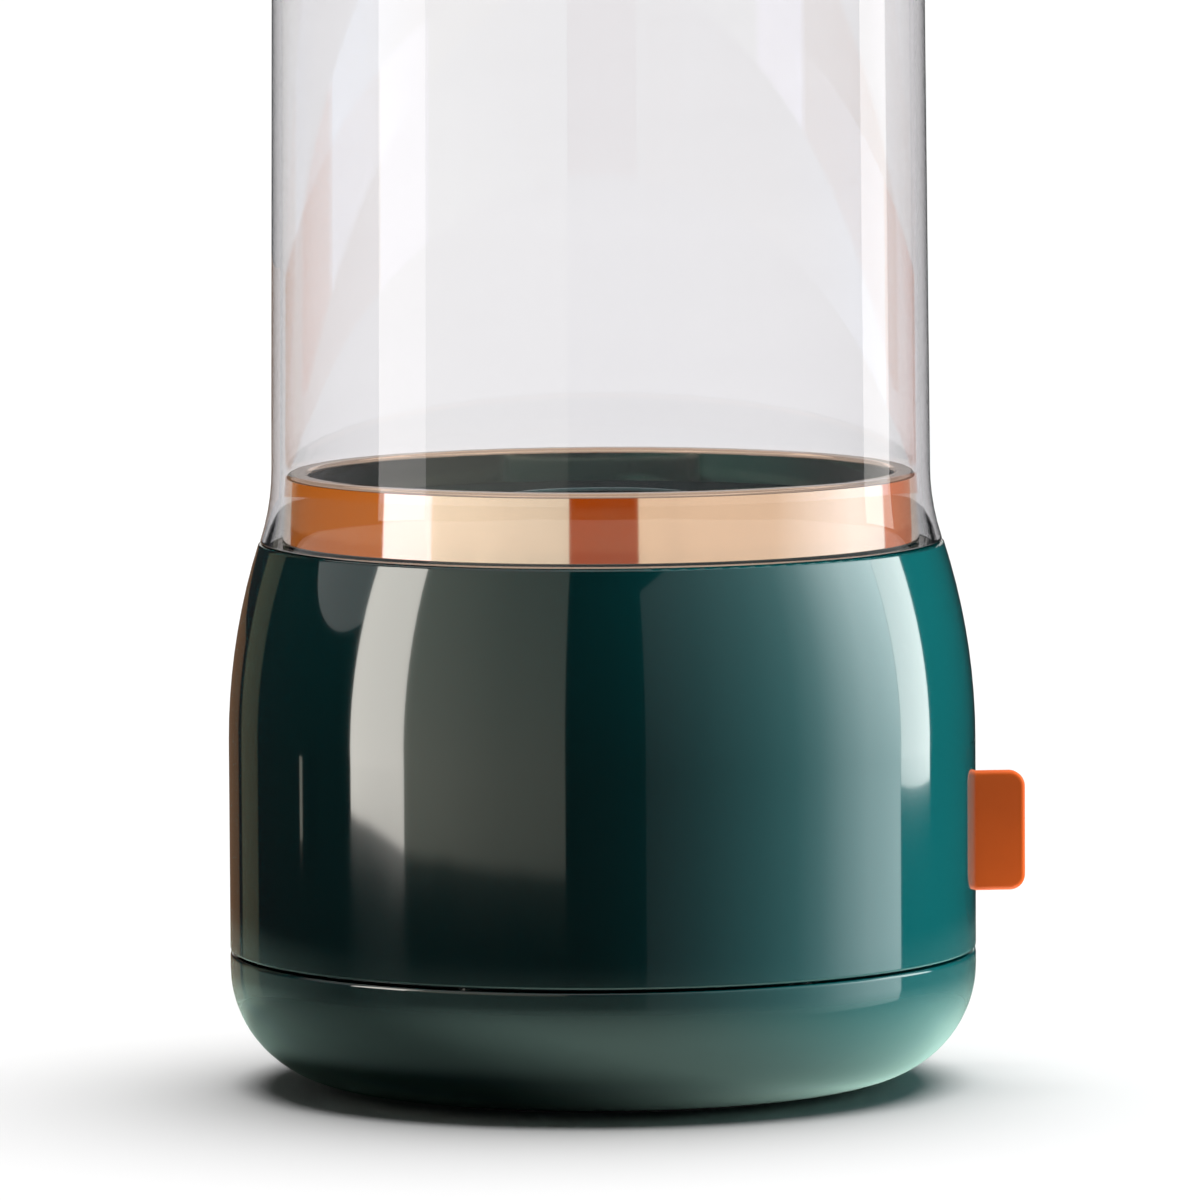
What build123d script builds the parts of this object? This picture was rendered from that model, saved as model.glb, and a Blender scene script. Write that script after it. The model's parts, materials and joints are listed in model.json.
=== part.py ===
"""Rotating makeup brush holder: a round gloss body that turns on a low bowl base,
a brush cup with a plated rim, a clear lift-off dust cover and a side drawer with
a pull tab.  Millimetres, +Z up, origin on the table under the turning axis, the
drawer opens towards +X."""

import math
import os

from build123d import *

os.makedirs("parts", exist_ok=True)

# ---------------------------------------------------------------- dimensions
R_MAX = 67.0            # outer radius of bowl and body
WALL = 2.4              # moulded wall of bowl and body shell

# base bowl
FOOT_H = 1.0            # the non-slip pad stands this far below the bowl
BOWL_FLOOR = 4.2        # top of the bowl's floor
BOWL_FILLET = 20.5      # big round at the bottom edge
SEAM_LOW = 24.2         # top rim of the bowl
SEAM_HIGH = 24.65       # bottom rim of the turning body
FOOT_R, FOOT_T = 43.0, 2.0
FOOT_GROOVES = (22.0, 36.0)   # middle radius of the pad's shallow grip grooves

# turntable bearing
RACE_R_IN, RACE_R_OUT = 31.5, 50.0
LOWER_RACE_Z = 15.5
RACE_T = 3.0
BALL_R = 2.5
BALL_CIRCLE_R = 37.0
BALL_COUNT = 14
BALL_Z = 20.25
GROOVE_R = 2.62
CAGE_T = 1.3
RACE_SCREW_R = 45.0

# pivot
PIVOT_R = 4.0
PIVOT_BORE_R = 4.06

# body
FLOOR_Z, FLOOR_T = 25.0, 2.6
FLOOR_R = 64.2
SHOULDER_Z0 = 62.0      # where the side starts to curve in
SHOULDER_R = 116.0      # radius of that curve
LEDGE_Z = 97.7          # top face that the clear cover stands on
LEDGE_T = 2.4
LEDGE_HOLE_R = 54.0
LEDGE_EDGE = 0.6         # round of the ledge's outer edge
POST_R, POST_PCR, POST_TOP = 3.4, 57.5, 46.0
POST_ANGLES = (60, 120, 240, 300)

# drawer
FRONT_W, FRONT_Z0, FRONT_Z1, FRONT_CORNER = 48.0, 30.0, 62.0, 4.0
FRONT_GAP = 0.2
FRONT_BACK_X = 55.8
FRONT_BOSS_X = 63.7      # the screw bosses end inside the curved wall
TRAY_W, TRAY_X0, TRAY_X1 = 43.0, -42.0, 55.6
TRAY_Z0, TRAY_Z1, TRAY_T = 31.0, 54.0, 1.6
FLANGE_Z0, FLANGE_Z1, FLANGE_OUT = 44.5, 46.1, 2.0    # flange heights and how far it stands out
RAIL_X0, RAIL_X1 = -43.5, 55.0
RAIL_Y_IN, RAIL_Y_OUT = TRAY_W / 2 - 5.5, TRAY_W / 2 + 4.3
RAIL_TOP = 48.5
TRAVEL = 60.0
RAIL_SCREWS = ((-28, 21), (-28, -21), (28, 21), (28, -21))
FRONT_SCREWS = ((-15.5, 48.5), (15.5, 48.5), (-15.5, 37.5), (15.5, 37.5))
TAB_Z0, TAB_Z1, TAB_X1, TAB_T = 33.5, 55.1, 76.6, 3.2
TAB_CORNER = 2.8
TAB_EDGE = 0.9           # round along the tab's edges

# cup, divider, rim
CUP_R_IN, CUP_R_OUT = 51.6, 53.6
CUP_Z0, CUP_FLOOR = 56.5, 58.7
COLLAR_R_IN, COLLAR_R_OUT, COLLAR_Z1 = 53.0, 55.2, 109.2
RIM_Z0, RIM_Z1 = 97.9, 110.5
RIM_R_LOW, RIM_R_TOP, RIM_R_IN = 57.0, 56.3, 52.4
SLEEVE_R_IN, SLEEVE_R_OUT = 16.0, 17.6
DIVIDER_Z0, DIVIDER_Z1 = 58.75, 106.0
FIN_T, FIN_R, FIN_Z1 = 1.6, 51.2, 103.0

# clear cover
COVER_Z0 = 97.75
COVER_T = 1.7
COVER_FOOT_R = 61.2     # the foot flares out to this radius
COVER_WAIST_Z, COVER_WAIST_R = 111.0, 59.0
COVER_SHOULDER_Z, COVER_SHOULDER_R = 262.6, 57.7
COVER_TOP_Z = 266.0
COVER_ROUND = 17.0


def corner(sketch, r, z):
    """The sketch vertex nearest to radius r and height z."""
    return sketch.vertices().sort_by_distance((r, z, 0))[0]


def shoulder(radius, z):
    """Radius of the body's curved side at height z, for an arc of that radius."""
    return R_MAX - SHOULDER_R + math.sqrt(radius**2 - (z - SHOULDER_Z0) ** 2)


# ------------------------------------------------------------------ base bowl
r_in = R_MAX - WALL
f_in = BOWL_FILLET - WALL
c45 = math.sqrt(0.5)
with BuildPart() as base_bowl:
    with BuildSketch(Plane.XZ) as bowl_profile:
        with BuildLine():
            zc = FOOT_H + BOWL_FILLET
            rc = R_MAX - BOWL_FILLET
            Polyline((0, FOOT_H), (rc, FOOT_H))
            ThreePointArc((rc, FOOT_H), (rc + BOWL_FILLET * c45, zc - BOWL_FILLET * c45), (R_MAX, zc))
            Polyline((R_MAX, zc), (R_MAX, SEAM_LOW), (r_in, SEAM_LOW), (r_in, BOWL_FLOOR + f_in))
            ThreePointArc(
                (r_in, BOWL_FLOOR + f_in),
                (r_in - f_in + f_in * c45, BOWL_FLOOR + f_in - f_in * c45),
                (r_in - f_in, BOWL_FLOOR),
            )
            Polyline((r_in - f_in, BOWL_FLOOR), (0, BOWL_FLOOR), (0, FOOT_H))
        make_face()
        fillet(corner(bowl_profile, R_MAX, SEAM_LOW), 0.55)
    revolve(axis=Axis.Z)
    # two ribs that carry the lower race, and the pivot boss
    with BuildSketch(Plane.XY.offset(BOWL_FLOOR - 0.4)):
        Circle(RACE_R_IN + 2.4)
        Circle(RACE_R_IN, mode=Mode.SUBTRACT)
    extrude(amount=LOWER_RACE_Z - BOWL_FLOOR + 0.4)
    with BuildSketch(Plane.XY.offset(BOWL_FLOOR - 0.4)):
        Circle(RACE_R_OUT - 0.2)
        Circle(RACE_R_OUT - 2.4, mode=Mode.SUBTRACT)
    extrude(amount=LOWER_RACE_Z - BOWL_FLOOR + 0.4)
    with BuildSketch(Plane.XY.offset(BOWL_FLOOR - 0.4)):
        with PolarLocations(RACE_SCREW_R, 4, start_angle=45):
            Circle(3.0)
    extrude(amount=LOWER_RACE_Z - BOWL_FLOOR + 0.4)
    with BuildSketch(Plane.XY.offset(BOWL_FLOOR - 0.4)):
        Circle(9.0)
    extrude(amount=18.5 - BOWL_FLOOR + 0.4)
    # six radial webs from the boss to the inner rib
    with BuildSketch(Plane.XY.offset(BOWL_FLOOR - 0.4)):
        with PolarLocations(20.3, 6):
            Rectangle(23.4, 1.8)
    extrude(amount=9.0)
    # screw pilots, pivot bore and its counterbore, recess for the foot pad
    with BuildSketch(Plane.XY.offset(LOWER_RACE_Z)):
        with PolarLocations(RACE_SCREW_R, 4, start_angle=45):
            Circle(1.3)
    extrude(amount=-8.0, mode=Mode.SUBTRACT)
    with BuildSketch(Plane.XY.offset(FOOT_H - 0.5)):
        Circle(PIVOT_R + 0.03)
    extrude(amount=20.0, mode=Mode.SUBTRACT)
    with BuildSketch(Plane.XY.offset(FOOT_H - 0.5)):
        Circle(6.4)
    extrude(amount=5.0, mode=Mode.SUBTRACT)
    with BuildSketch(Plane.XY.offset(FOOT_H - 0.5)):
        Circle(FOOT_R + 0.05)
    extrude(amount=FOOT_T - FOOT_H + 0.5, mode=Mode.SUBTRACT)
base_bowl.part.label = "base_bowl"
export_step(base_bowl.part, "parts/base_bowl.step")

# non-slip pad in its recess under the bowl, it also covers the pivot bolt's head
with BuildPart() as foot_pad:
    with BuildSketch(Plane.XZ) as foot_profile:
        with BuildLine():
            Polyline((0, 0), (FOOT_R, 0), (FOOT_R, FOOT_T), (0, FOOT_T), close=True)
        make_face()
        fillet(corner(foot_profile, FOOT_R, 0), 0.4)
        for groove in FOOT_GROOVES:
            with Locations((groove, 0)):
                Rectangle(1.6, 1.0, mode=Mode.SUBTRACT)
    revolve(axis=Axis.Z)
foot_pad.part.label = "rubber_foot_pad"
export_step(foot_pad.part, "parts/rubber_foot_pad.step")

# -------------------------------------------------------------------- bearing
race_z1 = LOWER_RACE_Z + RACE_T
with BuildPart() as lower_race:
    with BuildSketch(Plane.XZ) as lower_race_profile:
        with BuildLine():
            Polyline(
                (RACE_R_IN, LOWER_RACE_Z), (RACE_R_OUT, LOWER_RACE_Z),
                (RACE_R_OUT, race_z1), (RACE_R_IN, race_z1), close=True,
            )
        make_face()
        with Locations((BALL_CIRCLE_R, BALL_Z)):
            Circle(GROOVE_R, mode=Mode.SUBTRACT)
    revolve(axis=Axis.Z)
    with Locations(Plane.XY.offset(race_z1)):
        with PolarLocations(RACE_SCREW_R, 4, start_angle=45):
            CounterSinkHole(radius=1.4, counter_sink_radius=2.6, depth=RACE_T)
lower_race.part.label = "lower_race"
export_step(lower_race.part, "parts/lower_race.step")

upper_z0 = FLOOR_Z - RACE_T
with BuildPart() as upper_race:
    with BuildSketch(Plane.XZ) as upper_race_profile:
        with BuildLine():
            Polyline(
                (RACE_R_IN, upper_z0), (RACE_R_OUT, upper_z0),
                (RACE_R_OUT, FLOOR_Z), (RACE_R_IN, FLOOR_Z), close=True,
            )
        make_face()
        with Locations((BALL_CIRCLE_R, BALL_Z)):
            Circle(GROOVE_R, mode=Mode.SUBTRACT)
    revolve(axis=Axis.Z)
    with Locations(Plane(origin=(0, 0, upper_z0), x_dir=(1, 0, 0), z_dir=(0, 0, -1))):
        with PolarLocations(RACE_SCREW_R, 4):
            CounterSinkHole(radius=1.4, counter_sink_radius=2.6, depth=RACE_T)
upper_race.part.label = "upper_race"
export_step(upper_race.part, "parts/upper_race.step")

with BuildPart() as bearing_balls:
    with Locations((0, 0, BALL_Z)):
        with PolarLocations(BALL_CIRCLE_R, BALL_COUNT):
            Sphere(BALL_R)
bearing_balls.part.label = "bearing_balls"
export_step(bearing_balls.part, "parts/bearing_balls.step")

with BuildPart() as ball_cage:
    with BuildSketch(Plane.XY.offset(BALL_Z - CAGE_T / 2)):
        Circle(BALL_CIRCLE_R + 4.2)
        Circle(BALL_CIRCLE_R - 4.2, mode=Mode.SUBTRACT)
        with PolarLocations(BALL_CIRCLE_R, BALL_COUNT):
            Circle(BALL_R + 0.15, mode=Mode.SUBTRACT)
        # lightening slots between the balls
        with PolarLocations(BALL_CIRCLE_R, BALL_COUNT, start_angle=180 / BALL_COUNT):
            SlotOverall(4.4, 2.0, rotation=90, mode=Mode.SUBTRACT)
    extrude(amount=CAGE_T)
ball_cage.part.label = "ball_cage"
export_step(ball_cage.part, "parts/ball_cage.step")

# countersunk screws of the lower race: head up, shank down into the bowl's bosses
with BuildPart() as lower_race_screws:
    with PolarLocations(RACE_SCREW_R, 4, start_angle=45):
        with Locations((0, 0, race_z1 - 0.05 - 0.6)):
            Cone(1.2, 2.4, 1.2)
        with Locations((0, 0, race_z1 - 1.25 - 3.5)):
            Cylinder(1.2, 7.0)
        with Locations((0, 0, race_z1 - 0.05)):
            Box(2.6, 0.5, 1.0, mode=Mode.SUBTRACT)
            Box(0.5, 2.6, 1.0, mode=Mode.SUBTRACT)
lower_race_screws.part.label = "lower_race_screws"
export_step(lower_race_screws.part, "parts/lower_race_screws.step")

# countersunk screws of the upper race: head down, shank up into the body floor
with BuildPart() as upper_race_screws:
    with PolarLocations(RACE_SCREW_R, 4):
        with Locations((0, 0, upper_z0 + 0.05 + 0.6)):
            Cone(2.4, 1.2, 1.2)
        with Locations((0, 0, upper_z0 + 1.25 + 2.0)):
            Cylinder(1.2, 4.0)
        with Locations((0, 0, upper_z0 + 0.05)):
            Box(2.6, 0.5, 1.0, mode=Mode.SUBTRACT)
            Box(0.5, 2.6, 1.0, mode=Mode.SUBTRACT)
upper_race_screws.part.label = "upper_race_screws"
export_step(upper_race_screws.part, "parts/upper_race_screws.step")

# ---------------------------------------------------------------------- pivot
with BuildPart() as pivot_bolt:
    with BuildSketch(Plane.XY.offset(2.4)):
        RegularPolygon(radius=5.8, side_count=6)
    extrude(amount=3.0)
    with BuildSketch(Plane.XY.offset(5.4)):
        Circle(PIVOT_R)
    extrude(amount=27.75 - 5.4)
    with BuildSketch(Plane.XY.offset(27.75)):
        Circle(2.4)
    extrude(amount=2.75)
    chamfer(pivot_bolt.edges().filter_by(GeomType.CIRCLE).sort_by(Axis.Z)[-1], 0.4)
pivot_bolt.part.label = "pivot_bolt"
export_step(pivot_bolt.part, "parts/pivot_bolt.step")

with BuildPart() as pivot_washer:
    with BuildSketch(Plane.XY.offset(27.78)):
        Circle(8.5)
        Circle(2.6, mode=Mode.SUBTRACT)
    extrude(amount=0.8)
pivot_washer.part.label = "pivot_washer"
export_step(pivot_washer.part, "parts/pivot_washer.step")

with BuildPart() as pivot_nut:
    with BuildSketch(Plane.XY.offset(28.6)):
        RegularPolygon(radius=4.6, side_count=6)
        Circle(2.45, mode=Mode.SUBTRACT)
    extrude(amount=1.8)
pivot_nut.part.label = "pivot_nut"
export_step(pivot_nut.part, "parts/pivot_nut.step")

# ----------------------------------------------------------------- body floor
with BuildPart() as body_floor:
    with BuildSketch(Plane.XY.offset(FLOOR_Z)):
        Circle(FLOOR_R)
    extrude(amount=FLOOR_T)
    with BuildSketch(Plane.XY.offset(FLOOR_Z)):
        Circle(9.0)
    extrude(amount=-5.5)
    # pivot bore, screw holes for the shell, pilots for race and rail screws
    with BuildSketch(Plane.XY.offset(FLOOR_Z - 6)):
        Circle(PIVOT_BORE_R)
    extrude(amount=10, mode=Mode.SUBTRACT)
    with BuildSketch(Plane.XY.offset(FLOOR_Z - 1)):
        for angle in POST_ANGLES:
            with PolarLocations(POST_PCR, 1, start_angle=angle):
                Circle(1.7)
    extrude(amount=5, mode=Mode.SUBTRACT)
    with BuildSketch(Plane.XY.offset(FLOOR_Z)):
        with PolarLocations(RACE_SCREW_R, 4):
            Circle(1.25)
    extrude(amount=2.35, mode=Mode.SUBTRACT)
    with Locations(Plane(origin=(0, 0, FLOOR_Z), x_dir=(1, 0, 0), z_dir=(0, 0, -1))):
        with Locations(*RAIL_SCREWS):
            CounterSinkHole(radius=1.4, counter_sink_radius=2.6, depth=FLOOR_T)
body_floor.part.label = "body_floor"
export_step(body_floor.part, "parts/body_floor.step")

# pan-head screws up through the floor into the shell's posts
with BuildPart() as floor_screws:
    for angle in POST_ANGLES:
        with PolarLocations(POST_PCR, 1, start_angle=angle):
            with Locations((0, 0, FLOOR_Z - 0.8)):
                Cylinder(2.6, 1.6)
            with Locations((0, 0, FLOOR_Z + 5.0)):
                Cylinder(1.25, 10.0)
            with Locations((0, 0, FLOOR_Z - 1.6)):
                Box(3.0, 0.6, 1.4, mode=Mode.SUBTRACT)
                Box(0.6, 3.0, 1.4, mode=Mode.SUBTRACT)
floor_screws.part.label = "floor_screws"
export_step(floor_screws.part, "parts/floor_screws.step")

# ----------------------------------------------------------------- body shell
arc_in = SHOULDER_R - WALL
ledge_low = LEDGE_Z - LEDGE_T
mid_out = (SHOULDER_Z0 + LEDGE_Z) / 2
mid_in = (SHOULDER_Z0 + ledge_low) / 2
with BuildPart() as body_shell:
    with BuildSketch(Plane.XZ) as shell_profile:
        with BuildLine():
            Polyline((r_in, SEAM_HIGH), (R_MAX, SEAM_HIGH), (R_MAX, SHOULDER_Z0))
            ThreePointArc(
                (R_MAX, SHOULDER_Z0),
                (shoulder(SHOULDER_R, mid_out), mid_out),
                (shoulder(SHOULDER_R, LEDGE_Z), LEDGE_Z),
            )
            Polyline(
                (shoulder(SHOULDER_R, LEDGE_Z), LEDGE_Z),
                (LEDGE_HOLE_R, LEDGE_Z),
                (LEDGE_HOLE_R, ledge_low),
                (shoulder(arc_in, ledge_low), ledge_low),
            )
            ThreePointArc(
                (shoulder(arc_in, ledge_low), ledge_low),
                (shoulder(arc_in, mid_in), mid_in),
                (r_in, SHOULDER_Z0),
            )
            Polyline((r_in, SHOULDER_Z0), (r_in, SEAM_HIGH))
        make_face()
        fillet(corner(shell_profile, R_MAX, SEAM_HIGH), 0.5)
        fillet(corner(shell_profile, shoulder(SHOULDER_R, LEDGE_Z), LEDGE_Z), LEDGE_EDGE)
    revolve(axis=Axis.Z)
    # screw posts on radial webs
    for angle in POST_ANGLES:
        a = math.radians(angle)
        with BuildSketch(Plane.XY.offset(FLOOR_Z + FLOOR_T)):
            with Locations((POST_PCR * math.cos(a), POST_PCR * math.sin(a))):
                Circle(POST_R)
            with Locations((61.5 * math.cos(a), 61.5 * math.sin(a))):
                Rectangle(7.4, 2.4, rotation=angle)
        extrude(amount=POST_TOP - FLOOR_Z - FLOOR_T)
    with BuildSketch(Plane.XY.offset(FLOOR_Z)):
        for angle in POST_ANGLES:
            with PolarLocations(POST_PCR, 1, start_angle=angle):
                Circle(1.3)
    extrude(amount=14.0, mode=Mode.SUBTRACT)
    # the drawer's opening through the +X side
    with BuildSketch(Plane.YZ.offset(40.0)):
        with Locations((0, (FRONT_Z0 + FRONT_Z1) / 2)):
            RectangleRounded(
                FRONT_W + 2 * FRONT_GAP, FRONT_Z1 - FRONT_Z0 + 2 * FRONT_GAP, FRONT_CORNER + FRONT_GAP
            )
    extrude(amount=40.0, mode=Mode.SUBTRACT)
body_shell.part.label = "body_shell"
export_step(body_shell.part, "parts/body_shell.step")

# --------------------------------------------------------------- drawer rails
# C-shaped guides: the tray stands on the foot of the C, its side flange runs
# under the top lip, and the wall at the front end stops the flange
lip_y = TRAY_W / 2 + 0.5
wall_y = TRAY_W / 2 + 2.4
with BuildPart() as drawer_rails:
    for side in (1, -1):
        with BuildSketch(Plane.YZ.offset(RAIL_X0)) as rail_section:
            with BuildLine():
                z0 = FLOOR_Z + FLOOR_T
                Polyline(
                    (side * RAIL_Y_IN, z0), (side * RAIL_Y_OUT, z0), (side * RAIL_Y_OUT, RAIL_TOP),
                    (side * lip_y, RAIL_TOP), (side * lip_y, FLANGE_Z1 + 0.3), (side * wall_y, FLANGE_Z1 + 0.3),
                    (side * wall_y, TRAY_Z0 - 0.1), (side * RAIL_Y_IN, TRAY_Z0 - 0.1), close=True,
                )
            make_face()
        extrude(amount=RAIL_X1 - RAIL_X0)
        with BuildSketch(Plane.YZ.offset(RAIL_X1 - 2.0)):
            with Locations((side * (lip_y + RAIL_Y_OUT) / 2, (TRAY_Z0 + RAIL_TOP) / 2 - 0.5)):
                Rectangle(RAIL_Y_OUT - lip_y, RAIL_TOP - TRAY_Z0 + 0.9)
        extrude(amount=2.0)
    # pilots for the rail screws
    with BuildSketch(Plane.XY.offset(FLOOR_Z + FLOOR_T)):
        with Locations(*RAIL_SCREWS):
            Circle(1.25)
    extrude(amount=2.6, mode=Mode.SUBTRACT)
drawer_rails.part.label = "drawer_rails"
export_step(drawer_rails.part, "parts/drawer_rails.step")

with BuildPart() as rail_screws:
    with Locations(*RAIL_SCREWS):
        with Locations((0, 0, FLOOR_Z + 0.05 + 0.6)):
            Cone(2.4, 1.2, 1.2)
        with Locations((0, 0, FLOOR_Z + 1.25 + 1.9)):
            Cylinder(1.2, 3.8)
        with Locations((0, 0, FLOOR_Z + 0.05)):
            Box(2.6, 0.5, 1.0, mode=Mode.SUBTRACT)
            Box(0.5, 2.6, 1.0, mode=Mode.SUBTRACT)
rail_screws.part.label = "rail_screws"
export_step(rail_screws.part, "parts/rail_screws.step")

# --------------------------------------------------------------------- drawer
tray_len = TRAY_X1 - TRAY_X0
tray_mid = (TRAY_X0 + TRAY_X1) / 2
with BuildPart() as drawer_tray:
    with BuildSketch(Plane.XY.offset(TRAY_Z0)):
        with Locations((tray_mid, 0)):
            Rectangle(tray_len, TRAY_W)
    extrude(amount=TRAY_Z1 - TRAY_Z0)
    fillet(drawer_tray.edges().filter_by(Axis.Z).group_by(Axis.X)[0], 7.0)
    with BuildSketch(Plane.XY.offset(TRAY_Z0 + TRAY_T)) as tray_inside:
        with Locations((tray_mid, 0)):
            Rectangle(tray_len - 2 * TRAY_T, TRAY_W - 2 * TRAY_T)
        fillet(tray_inside.vertices().group_by(Axis.X)[0], 5.4)
        fillet(tray_inside.vertices().group_by(Axis.X)[-1], 2.0)
    extrude(amount=TRAY_Z1, mode=Mode.SUBTRACT)
    # side flanges that run in the rails, on the rear part only
    flange_x1 = RAIL_X1 - 2.0 - 0.4 - TRAVEL
    with BuildSketch(Plane.XY.offset(FLANGE_Z0)):
        for side in (1, -1):
            with Locations(((TRAY_X0 + 7.5 + flange_x1) / 2, side * (TRAY_W / 2 + FLANGE_OUT / 2 - 0.25))):
                Rectangle(flange_x1 - TRAY_X0 - 7.5, FLANGE_OUT + 0.5)
    extrude(amount=FLANGE_Z1 - FLANGE_Z0)
    # screw holes through the front wall
    with BuildSketch(Plane.YZ.offset(TRAY_X1 - TRAY_T - 1)):
        with Locations(*FRONT_SCREWS):
            Circle(1.4)
    extrude(amount=4.0, mode=Mode.SUBTRACT)
drawer_tray.part.label = "drawer_tray"
export_step(drawer_tray.part, "parts/drawer_tray.step")

front_zc = (FRONT_Z0 + FRONT_Z1) / 2
front_h = FRONT_Z1 - FRONT_Z0
with BuildPart() as drawer_front:
    # slab of the body's own outer surface
    with BuildSketch(Plane.YZ.offset(FRONT_BACK_X)):
        with Locations((0, front_zc)):
            RectangleRounded(FRONT_W, front_h, FRONT_CORNER)
    extrude(amount=20.0)
    with BuildSketch(Plane.XY.offset(FRONT_Z0 - 1)):
        Circle(R_MAX)
    extrude(amount=front_h + 2, mode=Mode.INTERSECT)
    # hollow back, leaving an even wall
    with BuildSketch(Plane.YZ.offset(FRONT_BACK_X - 1)):
        with Locations((0, front_zc)):
            RectangleRounded(FRONT_W - 2 * WALL, front_h - 2 * WALL, FRONT_CORNER - 1.6)
    pocket = extrude(amount=20.0, mode=Mode.PRIVATE)
    with BuildSketch(Plane.XY.offset(FRONT_Z0 - 1)):
        Circle(R_MAX - WALL)
    bore = extrude(amount=front_h + 2, mode=Mode.PRIVATE)
    add(pocket & bore, mode=Mode.SUBTRACT)
    # bosses for the four screws that hold the tray
    with BuildSketch(Plane.YZ.offset(FRONT_BACK_X)):
        with Locations(*FRONT_SCREWS):
            Circle(2.6)
    extrude(amount=FRONT_BOSS_X - FRONT_BACK_X)
    with BuildSketch(Plane.YZ.offset(FRONT_BACK_X - 0.5)):
        with Locations(*FRONT_SCREWS):
            Circle(1.1)
    extrude(amount=5.5, mode=Mode.SUBTRACT)
    # slot for the pull tab, from behind
    with BuildSketch(Plane.YZ.offset(FRONT_BACK_X)):
        with Locations((0, (TAB_Z0 + TAB_Z1) / 2)):
            RectangleRounded(TAB_T + 0.1, TAB_Z1 - TAB_Z0 + 0.1, TAB_EDGE + 0.04)
    extrude(amount=20.0, mode=Mode.SUBTRACT)
drawer_front.part.label = "drawer_front"
export_step(drawer_front.part, "parts/drawer_front.step")

with BuildPart() as drawer_front_screws:
    with Locations(Plane(origin=(TRAY_X1 - TRAY_T, 0, 0), x_dir=(0, 1, 0), z_dir=(1, 0, 0))):
        with Locations(*FRONT_SCREWS):
            with Locations((0, 0, -0.7)):
                Cylinder(2.2, 1.4)
            with Locations((0, 0, 2.9)):
                Cylinder(1.0, 5.8)
            with Locations((0, 0, -1.4)):
                Box(2.4, 0.5, 1.0, mode=Mode.SUBTRACT)
                Box(0.5, 2.4, 1.0, mode=Mode.SUBTRACT)
drawer_front_screws.part.label = "drawer_front_screws"
export_step(drawer_front_screws.part, "parts/drawer_front_screws.step")

# flat pull tab standing out of the front, with a root flange behind it
tab_zc = (TAB_Z0 + TAB_Z1) / 2
with BuildPart() as pull_tab:
    with BuildSketch(Plane.XZ.offset(-TAB_T / 2)) as tab_outline:
        with Locations(((62.2 + TAB_X1) / 2, tab_zc)):
            Rectangle(TAB_X1 - 62.2, TAB_Z1 - TAB_Z0)
        fillet(tab_outline.vertices().group_by(Axis.X)[-1], TAB_CORNER)
    extrude(amount=TAB_T)
    fillet(
        pull_tab.edges().filter_by(lambda e: e.center().X > 63.5 and abs(abs(e.center().Y) - TAB_T / 2) < 0.01),
        TAB_EDGE,
    )
    with BuildSketch(Plane.YZ.offset(62.2)):
        with Locations((0, tab_zc)):
            RectangleRounded(11.0, 20.0, 1.5)
    extrude(amount=2.0)
    with BuildSketch(Plane.YZ.offset(TRAY_X1 + 0.1)):
        with Locations((0, tab_zc)):
            Rectangle(TAB_T, 12.0)
    extrude(amount=62.4 - TRAY_X1 - 0.1)
pull_tab.part.label = "pull_tab"
export_step(pull_tab.part, "parts/pull_tab.step")

# ------------------------------------------------------------------ brush cup
with BuildPart() as brush_cup:
    with BuildSketch(Plane.XZ) as cup_profile:
        with BuildLine():
            Polyline(
                (0, CUP_Z0), (CUP_R_OUT, CUP_Z0), (CUP_R_OUT, LEDGE_Z), (COLLAR_R_OUT, LEDGE_Z),
                (COLLAR_R_OUT, COLLAR_Z1), (COLLAR_R_IN, COLLAR_Z1), (COLLAR_R_IN, 99.7),
                (CUP_R_IN, 98.3), (CUP_R_IN, CUP_FLOOR), (0, CUP_FLOOR), close=True,
            )
        make_face()
        fillet(corner(cup_profile, CUP_R_OUT, CUP_Z0), 4.0)
        fillet(corner(cup_profile, CUP_R_IN, CUP_FLOOR), 2.4)
    revolve(axis=Axis.Z)
    # six snap bumps under the shell's ledge
    with BuildSketch(Plane.XZ) as snap_profile:
        with BuildLine():
            Polyline((CUP_R_OUT - 0.6, 95.2), (CUP_R_OUT + 1.0, 95.2), (CUP_R_OUT - 0.6, 90.5), close=True)
        make_face()
    bump = revolve(axis=Axis.Z, revolution_arc=10, mode=Mode.PRIVATE)
    for angle in range(25, 385, 60):
        add(bump.rotate(Axis.Z, angle))
brush_cup.part.label = "brush_cup"
export_step(brush_cup.part, "parts/brush_cup.step")

# drop-in divider: a round sleeve in the middle and four fins to the wall
with BuildPart() as divider:
    with BuildSketch(Plane.XY.offset(DIVIDER_Z0)):
        Circle(SLEEVE_R_OUT)
    extrude(amount=DIVIDER_Z1 - DIVIDER_Z0)
    with BuildSketch(Plane.XZ.offset(-FIN_T / 2)) as fin_outline:
        with BuildLine():
            Polyline(
                (SLEEVE_R_IN + 0.5, DIVIDER_Z0), (FIN_R - 2.6, DIVIDER_Z0), (FIN_R, DIVIDER_Z0 + 2.6),
                (FIN_R, FIN_Z1 - 9.0), (SLEEVE_R_IN + 0.5, FIN_Z1), close=True,
            )
        make_face()
        fillet(corner(fin_outline, FIN_R, FIN_Z1 - 9.0), 7.0)
    fin = extrude(amount=FIN_T, mode=Mode.PRIVATE)
    for angle in (0, 90, 180, 270):
        add(fin.rotate(Axis.Z, angle))
    with BuildSketch(Plane.XY.offset(DIVIDER_Z0)):
        Circle(SLEEVE_R_IN)
    extrude(amount=DIVIDER_Z1, mode=Mode.SUBTRACT)
    fillet(divider.edges().filter_by(GeomType.CIRCLE).group_by(Axis.Z)[-1], 0.6)
divider.part.label = "divider"
export_step(divider.part, "parts/divider.step")

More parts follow.
